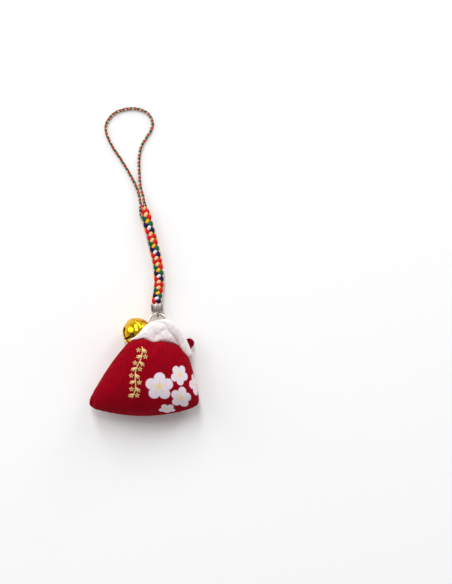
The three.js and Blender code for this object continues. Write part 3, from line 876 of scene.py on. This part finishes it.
def stuffed(points, faces, pinned):
    """Points after the sewn cloth, cut a little larger than its shape, is blown up from inside.

    Blender's cloth runs at a larger scale with the seam held and no gravity. No point moves further
    than the cap.
    """
    scale = MM * blow_scale
    blown = add_mesh("blown", (points, faces), scale)
    blown.vertex_groups.new(name="seam").add(pinned.tolist(), 1.0, "REPLACE")
    cloth = blown.modifiers.new("cloth", "CLOTH")
    adjust(cloth.point_cache, frame_start=1, frame_end=blow_frames)
    cloth.collision_settings.use_collision = False
    adjust(cloth.settings, vertex_group_mass="seam", quality=6, use_pressure=True,
           uniform_pressure_force=4.0, shrink_min=-cloth_spare, bending_stiffness=0.8)
    cloth.settings.effector_weights.gravity = 0.0
    scene = bpy.context.scene
    for step in range(1, blow_frames + 1):
        scene.frame_set(step)
    result = blown.evaluated_get(bpy.context.evaluated_depsgraph_get())
    move = read(result.data.vertices, "co", 3) / scale - points
    bpy.data.objects.remove(blown)
    scene.frame_set(1)
    length = np.linalg.norm(move, axis=1, keepdims=True)
    return points + move * np.minimum(1, cloth_cap / np.maximum(length, 1e-9))


def arc_map(grid):
    """Cloth coordinates of a grid in millimetres: lengths along its rows and columns from their middles."""
    row, column = grid.shape[0] // 2, grid.shape[1] // 2
    across, along = run(grid, 1), run(grid, 0)
    across = across - across[:, [column]] + grid[:, column, :1]
    along = along - along[[row]] + grid[row, :, 1]
    return np.stack([across, along], -1)


def pouch_shape():
    """Crown and belly on one grid each, joined along the seam. Gives points, faces, cloth map and crown."""
    plan, border = pouch_grid(pouch_columns, pouch_rows)
    slack = crown_slack
    crown, belly = (pouch_surface(plan, side, border, slack=slack) for side in (1, -1))
    count = border.size
    crown_index = np.arange(count)
    belly_index = crown_index.copy()
    inner = ~border.ravel()
    belly_index[inner] = count + np.arange(inner.sum())
    points = np.vstack([crown.reshape(-1, 3), belly[~border]])
    quads = grid_faces(pouch_rows, pouch_columns)
    faces = np.vstack([crown_index[quads][:, ::-1], belly_index[quads]]).tolist()
    crown_map = arc_map(crown).reshape(-1, 2)[quads][:, ::-1]
    belly_map = arc_map(belly).reshape(-1, 2)[quads] + belly_map_shift
    points = stuffed(points, faces, np.flatnonzero(border))
    points[:, 2] = np.maximum(points[:, 2], 0)
    points[:count] += crown_relief(points[:count])
    return points, faces, np.vstack([crown_map, belly_map]), points[:count].reshape(plan.shape)


def crown_relief(points):
    """Moves of the crown's cloth along Z: a crease by the right edge, and gathers and a hem at the mouth."""
    x, y = points[:, 0], points[:, 1]
    crease = x - (12.15 + 0.05 * y)
    ridge = 0.34 * np.where(crease < 0, bump(crease, 1.3), bump(crease, 0.35)) * bump(y + 0.6, 3.4)
    share = np.clip((x - mouth_left[0]) / (mouth_right[0] - mouth_left[0]), 0, 1)
    gap = on_mouth(share)[:, 1] - y
    gathers = 0.1 * np.sin(share * 11 * TURN + 0.7 * np.sin(share * 23)) * bump(gap - 1.1, 1.2)
    hem = 0.16 * bump(gap - 0.55, 0.45)
    return np.outer(ridge + gathers + hem, UP)


def corner_tab():
    """Corner of the back cloth behind the collar: a round-ended folded tab, thinner towards its end."""
    half_width = ear_width / 2
    t = np.linspace(0, 1, tab_rows)[:, None]
    a = turn_steps(tab_columns)
    along = -ear_root / 2 + (ear_reach + ear_root / 2) * t
    past = np.clip((along - (ear_reach - half_width)) / half_width, 0, 1)
    half = half_width * np.sqrt(1 - past ** 2)
    thick = 0.46 * (1 - 0.25 * t) * np.sqrt(half / half_width)
    across, over = squarish(a, [0.7, 0.9]).T
    x = half * across
    z = thick * over + 0.12 * np.sin(along * 2.1) * bump(x - 0.4, 0.8) + 0.1 * t
    points, faces = lofted(np.stack([x, along + 0 * a, z], -1))
    place = mouth_right - [ear_inset, 0, under_collar + ear_thickness / 2]
    return points @ turn(2, -ear_turn).T + place, faces


def add_pouch():
    """Stuffed pouch of printed red cloth, with its back corner in a darker red: painted shade from the collar
    above it.
    """
    points, faces, cloth_map, crown = pouch_shape()
    finish = pouch_finish("pouch_cloth", cloth_red, blossoms)
    piece = add_piece("pouch_cloth_bag", (points, faces), "pouch", finish,
                      ["front_cloth", "back_cloth"], closed=False, sharp=180)
    add_cloth_map(piece, cloth_map)
    subdivide(piece)
    # The back corner tab's darker red is painted shade, standing in for the collar's shadow on it.
    tab_cloth_painted_shade = pouch_finish("pouch_cloth_back_painted_shade", ear_red_painted_shade, [])
    tab = add_piece("back_corner_tab", corner_tab(), "pouch", tab_cloth_painted_shade, sharp=70)
    corners = read(tab.data.loops, "vertex_index", 1, np.int32)[:, 0]
    add_cloth_map(tab, read(tab.data.vertices, "co", 3)[corners, :2] / MM + tab_map_shift)
    subdivide(tab)
    return crown


crown_grid = add_pouch()


# Collar

collar_columns, collar_rows = 190, 120
lip_start, lip_steps, lip_end_steps, lip_sides = 0.36, 150, 20, 56
lip_half_width, lip_half_height, lip_end = 1.12, 0.56, 1.15

# Three puffs and the pinch where the collar is tied: height, middle and reach
collar_hills = [
    (0.6, (6.8, 10.4), (2.4, 1.6)), (0.2, (4.4, 13.2), (2.6, 1.2)), (0.25, (-0.6, 11.6), (2.6, 1.5)),
    (-0.25, (2.7, 10.6), (0.8, 1.2)),
]
# Folds: depth, start, end and width
collar_grooves = [(0.09, (2.9, 10.8), (4.8, 12.2), 0.45), (0.08, (2.7, 10.9), (1.7, 12.6), 0.45)]


def collar_way(share):
    """Level direction that the collar points in along the mouth."""
    first, last = collar_fan
    return level(np.radians(first + (last - first) * np.asarray(share)))


def collar_width(share):
    """Width along the mouth: a smooth curve through the listed widths."""
    count = len(collar_widths)
    knots = np.stack([np.arange(count), collar_widths, np.zeros(count)], 1)
    _, curve = smooth_path(knots, 0.02)
    return np.interp(np.asarray(share) * (count - 1), curve[:, 0], curve[:, 1])


def on_collar(share, out):
    """Point at a share out of the collar's width from its foot, which meets the mouth at its left end."""
    foot = 0.3 * ease(share, -0.02, 0.14)
    return on_mouth(share) + collar_way(share) * (foot + out * collar_width(share))[..., None]


def crinkles(x, y, wave, depth, count=10):
    """Sharp-crested ripples: the mean of |sin| waves in seeded directions over gently bent coordinates."""
    random = np.random.default_rng(seed)
    angle = random.uniform(0, math.pi, count)
    number = math.pi / (wave * random.uniform(0.7, 1.7, count))
    phase = random.uniform(0, TURN, count)
    bent_x = (x + 0.3 * np.sin(1.7 * y))[..., None]
    bent_y = (y + 0.3 * np.sin(1.3 * x + 1))[..., None]
    waves = np.abs(np.sin((bent_x * np.cos(angle) + bent_y * np.sin(angle)) * number + phase))
    return depth * (waves.mean(-1) - 2 / math.pi) * math.sqrt(count)


def creped(x, y, fine):
    """Crepe's crinkles: wide ones, and finer ones of the given depth across them."""
    return crinkles(x, y, 1.5, 0.06) + crinkles(y, x, 0.8, fine)


def mound(x, y, middle, reach):
    """Gaussian hill of height 1 with its own reach across and along."""
    return bump(x - middle[0], reach[0]) * bump(y - middle[1], reach[1])


def groove(x, y, start, end, width):
    """Gaussian channel of depth 1 along a line from start to end."""
    start, way = np.array(start), np.array(end) - np.array(start)
    dx, dy = x - start[0], y - start[1]
    share = np.clip((dx * way[0] + dy * way[1]) / (way @ way), 0, 1)
    return bump(np.hypot(dx - share * way[0], dy - share * way[1]), width)


def collar_folds(x, y):
    """Heights of the collar's upper layer: its puffs and pinch, less the folds that run from the pinch."""
    hills = sum(height * mound(x, y, *spot) for height, *spot in collar_hills)
    return hills - sum(depth * groove(x, y, *line) for depth, *line in collar_grooves)


def collar_sheet():
    """Crepe folded double at its rim: share along the mouth, w from the under layer (-1) to the upper (1).

    The width from the mouth is 1 - 1.1 w^2 of the collar's, and the layers part as 1 - (1 - |w|)^3.
    """
    share, w = np.meshgrid(np.linspace(0, 1, collar_columns), np.linspace(-1, 1, collar_rows), indexing="ij")
    out = 1 - 1.1 * w * w
    part = np.sign(w) * (1 - (1 - np.abs(w)) ** 3)
    points = on_collar(share, out)
    x, y = points[..., 0], points[..., 1]
    width = collar_width(share)
    from_mouth = ease(out, -0.1, 0.03)
    size = ease(width, 0.2, 2.4)
    upper = (w > 0) * from_mouth * size
    wave = 0.16 * out * np.sin(share * 2.5 * TURN)
    lift = part * np.where(w > 0, 0.2 + 0.3 * size, 0.32) + 0.2 * upper * part
    pleat_depth = 0.05 + 0.1 * ease(w, 0.1, -0.4)
    pleats = pleat_depth * out * size * np.sin(share * 6.5 * TURN + 0.8 * np.sin(share * 9))
    under_band = 0.38 * bump((1 - out) * width - 2.15, 0.45) * ease(share, lip_start + 0.1, 0.66)
    points[..., 2] += wave + pleats + lift + upper * part * (collar_folds(x, y) - under_band)
    points[..., 2] += creped(x, y, 0.05) * np.abs(part) * (0.3 + 0.7 * from_mouth)
    ruffle = crinkles(share * 26, w * 0 + 3.0, 2.2, 0.06)
    points += collar_way(share) * (ruffle * out * size)[..., None]
    return points.reshape(-1, 3), grid_faces(collar_columns, collar_rows).tolist()


def collar_band():
    """Front lip of the collar: a soft roll along the right rim, thin at its start and rounded at its end."""
    share = np.linspace(lip_start, 1, lip_steps)
    rim = on_collar(share, np.ones(lip_steps))
    ahead = unit(np.gradient(rim, axis=0) * (RIGHT + AHEAD))
    path = rim + np.cross(ahead, UP) * (0.95 * ease(share, lip_start, 0.6) + 0.05)[:, None]
    path[:, 2] = on_mouth(share)[:, 2] + 0.3 + 0.7 * ease(share, lip_start, 0.62)
    tip = path[-1] + (path[-1] - path[-9]) * np.linspace(0, 1, lip_end_steps)[1:, None] * 1.1
    line = np.vstack([path, tip])
    length = run(line)
    end = np.sqrt(1 - np.clip(1 - (length[-1] - length) / lip_end, 0, 1) ** 2)
    grown = (0.12 + 0.88 * ease(length, 0, 5.0)) * end + 0.02
    side, up = path_frames(line, UP)
    points, faces = tube(line, side, up, lip_half_width * grown, lip_half_height * grown, lip_sides)
    line, length, grown = (np.repeat(values, lip_sides, axis=0) for values in (line, length, grown))
    ripple = creped(points[:, 0], points[:, 1], 0.035) + 0.05 * np.sin(length * 1.3)
    return points + unit(points - line) * (ripple * np.minimum(grown, 1))[:, None], faces


def add_collar():
    """Collar of white crepe: its back folded double, and its rolled front lip."""
    finish = crepe_finish()
    sheet = add_piece("collar_back_fold", collar_sheet(), "pouch", finish,
                      ["collar_back_lip"], sharp=180)
    modify(sheet, "SOLIDIFY", thickness=0.12 * MM, offset=-1.0)
    band = add_piece("collar_front_fold", collar_band(), "pouch", finish,
                     ["collar_front_lip"], sharp=180)


add_collar()


# Gold stitches on the crown

vine_top, vine_foot = np.array([-0.9, 8.0]), np.array([-3.5, -5.6])
vine_turns, vine_sway, vine_stitches = 1.5, 0.42, 18
leaf_count, leaf_length, leaf_stitches = 8, 1.75, 3
bud_heart, bud_radius, bud_stitches, bud_turn = 0.16, 0.62, 5, 0.3
stitch_steps, stitch_sides, stitch_radius, stitch_lift, stitch_sunk = 9, 8, 0.17, 0.14, 0.05


def crown_frame(grid, spots):
    """Points and normals of the crown over the plan, from the tangent plane of the nearest grid point."""
    normals = unit(np.cross(np.gradient(grid, axis=1), np.gradient(grid, axis=0))).reshape(-1, 3)
    points = grid.reshape(-1, 3)
    near = ((spots[:, None] - points[:, :2]) ** 2).sum(-1).argmin(1)
    base, normal = points[near], normals[near]
    slope = ((spots - base[:, :2]) * normal[:, :2]).sum(1) / normal[:, 2]
    return np.concatenate([spots, (base[:, 2] - slope)[:, None]], 1), normal


def on_vine(share):
    """Stem of the stitched vine: a sine wave about the line from its top to its foot."""
    share = np.asarray(share, float)[..., None]
    line = vine_foot - vine_top
    aside = np.array([-line[1], line[0]]) / np.hypot(*line)
    return vine_top + line * share + aside * vine_sway * np.sin(share * vine_turns * TURN)


def stitch_lines():
    """Starts and ends in the plan of all stitches: a stem, with a leaf and a bud on either side in turn.

    A leaf is a fan of three stitches from the stem, and a bud is a star of five from its own middle.
    """
    knots = np.linspace(0, 1, vine_stitches + 1)
    shares = np.linspace(0.04, 0.92, leaf_count)
    hand = np.where(np.arange(leaf_count) % 2 == 0, 1.0, -1.0)
    foot = on_vine(shares)
    angle = np.radians(-101) + hand[:, None] * (0.95 + np.array([-0.3, 0.0, 0.3]))
    leaf = foot[:, None] + circle(angle) * leaf_length * np.array([0.82, 1, 0.82])[:, None]
    middle = on_vine(shares + 0.03) - np.outer(hand, [1.0, 0.0])
    star = circle(turn_steps(bud_stitches) + bud_turn)
    heart, bud = ((middle[:, None] + star * reach).reshape(-1, 2) for reach in (bud_heart, bud_radius))
    starts = [on_vine(knots[:-1]), np.repeat(foot, leaf_stitches, axis=0), heart]
    ends = [on_vine(knots[1:] + 0.01), leaf.reshape(-1, 2), bud]
    return np.concatenate(starts), np.concatenate(ends)


def add_stitches(grid):
    """Each stitch is a short round thread that rises out of the cloth and goes back in: lift sin(pi t)."""
    starts, ends = stitch_lines()
    t = np.linspace(0, 1, stitch_steps)[:, None]
    arch = np.sin(math.pi * t)
    plan = starts[:, None] * (1 - t) + ends[:, None] * t
    base, normal = (part.reshape(-1, stitch_steps, 3) for part in crown_frame(grid, plan.reshape(-1, 2)))
    path = base + normal * (stitch_lift * arch ** 0.6 - stitch_sunk)
    grown = stitch_radius * (0.55 + 0.45 * arch[:, 0] ** 0.5)
    shapes = [tube(line, *path_frames(line, out), grown, grown, stitch_sides)
              for line, out in zip(path, normal)]
    piece = add_piece("gold_stitches", together(*shapes), "pouch", stitch_finish(), sharp=180)
    lay = lay_of(np.arange(stitch_steps) * 0.16, stitch_sides)
    add_numbers(piece, "lay", np.tile(lay, (len(shapes), 1)))


add_stitches(crown_grid)


# Wadding and slip inside the pouch

wadding_rows, wadding_columns, wadding_gap = 41, 49, 0.5
slip_gap, slip_margin, slip_steps, fold_steps = 0.26, 0.15, 24, 9


def wadding_shape():
    """Crown and belly of the pouch drawn in by the cloth, with soft lumps."""
    plan, border = pouch_grid(wadding_columns, wadding_rows)
    inset = cloth_thickness + wadding_gap
    far = np.hypot(plan[..., 0], plan[..., 1])
    plan[..., :2] *= ((far - inset * np.minimum(1, far / 4)) / np.maximum(far, 1e-6))[..., None]
    lumps = crinkles(plan[..., 0], plan[..., 1], 4.0, 0.3)
    faces = grid_faces(wadding_rows, wadding_columns).tolist()
    halves = []
    for side in (1, -1):
        half = pouch_surface(plan, side, border, inset + 0.15)
        half[..., 2] += np.where(border, 0, lumps - 0.25 * side)
        half[..., 2] = np.maximum(half[..., 2], inset * 0.6)
        halves.append((half.reshape(-1, 3), faces))
    return together(*halves)


def slip_shape():
    """Paper folded in three: a strip's zigzag with round folds, carried along the slip's length."""
    half = slip_width / 2 - slip_margin
    fold = circle(np.linspace(-math.pi / 2, math.pi / 2, fold_steps)) * slip_gap / 2
    right, left = fold + [half, -slip_gap / 2], fold * [-1, 1] + [-half, slip_gap / 2]
    x, z = np.vstack([[[-half, -slip_gap]], right, left, [[half, slip_gap]]]).T[:, :, None]
    y = np.linspace(-slip_length / 2, slip_length / 2, slip_steps)
    points = np.stack([x + 0 * y, y + 0 * x, z + 0.02 * np.sin(y * 0.9)], -1)
    return points.reshape(-1, 3) + slip_middle, grid_faces(len(x), slip_steps).tolist()


def add_insides():
    """Wadding of the pouch and the paper slip in it."""
    fibre = plain_fibre_finish("wadding", wadding_white, wadding_shade, scale=1.6, depth=0.3)
    wadding = add_piece("wadding_lump", wadding_shape(), "pouch", fibre, ["stuffing"], sharp=180)
    paper = plain_fibre_finish("slip_paper", paper_white, paper_shade, scale=6.0, depth=0.02)
    slip = add_piece("folded_slip", slip_shape(), "pouch", paper, ["prayer_slip"],
                     closed=False, sharp=60)
    modify(slip, "SOLIDIFY", thickness=0.1 * MM, offset=0.0)


add_insides()


# Bell

rim_start = 0.52
rim_curve = [[4.0, 0.45], [4.07, 0.4], [4.105, 0.33], [4.115, 0.22], [4.115, 0.1], [4.095, 0.04]]
rim_angle = math.acos(rim_start / bell_radius)
shank_hole, cup_steps, cup_columns, quarter_columns = 0.5, 44, 132, 33
slot_steps, slot_end_steps, past_slot_steps = 22, 18, 16
shank_columns, pellet_rows, pellet_columns = 40, 49, 64
pellet_seam, pellet_seam_width, pellet_tilt = 0.012, 0.05, 35
shank_profile = [
    [0, 3.1], [0.8, 3.1], [0.85, 3.16], [0.85, 3.34], [0.78, 3.4], [0.3, 3.42], [0.3, 3.9], [0.95, 3.86],
    [0.92, 3.95], [0.62, 4.03], [0.42, 4.07], [0.33, 4.12], [0.33, 4.11], [0.34, 4.16], [0, 4.16],
]


def bell_place(points):
    """From the bell's own frame, +Z to its shank and Y along the ring's wire, to the charm's."""
    bearing, dip = math.radians(bell_bearing), math.radians(shank_dip)
    shank = -level(bearing) * math.cos(dip) - UP * math.sin(dip)
    wire = level(bearing + math.pi / 2)
    return points @ np.stack([np.cross(wire, shank), wire, shank]) + bell_middle


def cup_rows(angle):
    """Radii and heights of a cup's rows: its sphere at angles from the pole, then the rolled rim."""
    return np.vstack([bell_radius * circle(angle)[:, ::-1], rim_curve])


def slotted_cup():
    """Quarter shells between the crossed slots, repeated four times and joined past the slots' ends.

    At the angle f from the pole the slot's half width h is half its width, then that of its round end, then
    none. A quarter runs from asin(h / r) to 90 degrees less that, where r is the row's radius.
    """
    end, half = math.radians(slot_half_angle), slot_width / 2
    bulge = slot_end / bell_radius
    enter = math.asin(half / slot_end)
    first = math.asin(half * math.sqrt(2) / bell_radius)
    straight = np.linspace(first, end - bulge * math.cos(enter), slot_steps)
    bow = np.linspace(enter, math.pi, slot_end_steps)[1:]
    beyond = np.linspace(end + bulge, rim_angle, past_slot_steps)[1:]
    rows = cup_rows(np.concatenate([straight, end - bulge * np.cos(bow), beyond]))
    width = np.concatenate([0 * straight + half, slot_end * np.sin(bow)])
    width = np.pad(width, (0, len(rows) - len(width)))
    offset = np.arcsin(np.clip(width / rows[:, 0], 0, math.sqrt(0.5)))[:, None]
    around = offset + (TURN / 4 - 2 * offset) * np.linspace(0, 1, quarter_columns)
    r, z = rows.T[:, :, None, None]
    quarter = (r * level(around) - z * UP).reshape(-1, 3)
    faces = grid_faces(len(rows), quarter_columns).tolist()
    return together(*[(quarter @ turn(2, 90 * k).T, faces) for k in range(4)])


def shank_cup():
    """Half shell round the hole that the shank goes through."""
    angle = np.linspace(math.asin(shank_hole / bell_radius), rim_angle, cup_steps)
    return turned(cup_rows(angle), cup_columns)


def shank_shape():
    """Stem with a flared foot outside and a head inside, and the eye's ring."""
    return together(turned(shank_profile, shank_columns), wire_eye(UP * shank_reach, RIGHT, UP))


def pellet_shape():
    """Cast ball with a faint raised seam round its middle."""
    angle = np.linspace(0, math.pi, pellet_rows)
    radius = pellet_radius * (1 + pellet_seam * bump(angle - math.pi / 2, pellet_seam_width))
    points, faces = turned(radius[:, None] * circle(angle)[:, ::-1], pellet_columns)
    return points @ turn(0, pellet_tilt).T + pellet_middle, faces


def add_brass(name, shape, node, finish, sharp):
    """Piece of the bell, moved from the bell's own frame to the charm's."""
    points, faces = shape
    return add_piece(name, (bell_place(points), faces), "bell", finish, [node], sharp=sharp)


def add_bell(steel):
    """Two cups with a wall and eased edges, the shank, and the loose ball."""
    brass = brass_finish()
    for name, shape, node in (("bell_slotted_half", slotted_cup(), "bell_lower_cup"),
                              ("bell_shank_half", shank_cup(), "bell_upper_cup")):
        cup = add_brass(name, shape, node, brass, 50)
        modify(cup, "SOLIDIFY", thickness=bell_wall * 0.7 * MM, offset=-1.0)
        modify(cup, "BEVEL", width=0.045 * MM, segments=2, limit_method="ANGLE",
               angle_limit=math.radians(50), harden_normals=True)
    add_brass("bell_eye", shank_shape(), "bell_shank", brass, 40)
    add_piece("bell_ball", pellet_shape(), "pellet", steel, ["bell_pellet"])


ring_steel = steel_finish("ring_steel", steel_bright, rough=0.22, drawn=(0.6, 0.6, 6.0))
add_bell(ring_steel)


# Ring and hanger

ring_steps, ring_sides = 181, 24
ply_count, ply_radius, ply_sway, ply_lay, ply_step = 3, 0.19, 0.2, 1.3, 0.06


def add_ring():
    """Split ring of round wire, its cut ends eased."""
    first = ring_split_bearing + ring_split / 2
    bearing = np.radians(np.linspace(first, first + 360 - ring_split, ring_steps))
    out = level(bearing)
    ends = np.minimum(bearing - bearing[0], bearing[-1] - bearing) * ring_radius
    wire = ring_wire * (0.8 + 0.2 * ease(ends, 0, 0.08))
    shape = tube(ring_middle + out * ring_radius, out, UP, wire, wire, ring_sides)
    add_piece("split_ring", shape, "ring", ring_steel, ["jump_ring"])


def add_hanger():
    """Doubled thread of three twisted plies, sewn to the mouth and looped through the ring."""
    foot = on_mouth((ring_middle[0] - mouth_left[0]) / (mouth_right[0] - mouth_left[0]))
    sewn = foot[2] - under_collar - hanger_thread - hanger_spread
    anchor = np.array([ring_middle[0], foot[1] + hanger_stand_off, sewn])
    held = ring_middle - AHEAD * ring_radius
    along = unit(held - anchor)
    aside = np.array([0, -along[2], along[1]])
    bend = ring_wire + fit_gap + hanger_thread
    a = np.radians(np.arange(0, 181, 30))[:, None]
    loop = held + bend * (np.cos(a) * aside + np.sin(a) * along)
    half, waist = (anchor + held) / 2, aside * bend * hanger_waist
    spread = aside * hanger_spread
    points = np.vstack([anchor + spread, half + waist, loop, half - waist, anchor - spread])
    length, path = smooth_path(points, ply_step)
    side, up = path_frames(path, RIGHT)
    shapes = []
    for ply in range(ply_count):
        angle = (TURN * (length / ply_lay + ply / ply_count))[:, None]
        line = path + ply_sway * (np.cos(angle) * side + np.sin(angle) * up)
        shapes.append(tube(line, side, up, ply_radius, ply_radius, strand_sides))
    finish = plain_fibre_finish("white_thread", cotton_white, cotton_shade, scale=5.0, depth=0.05)
    add_piece("hanger_twist", together(*shapes), "pouch", finish, ["hanger_thread"], sharp=60)


add_ring()
add_hanger()


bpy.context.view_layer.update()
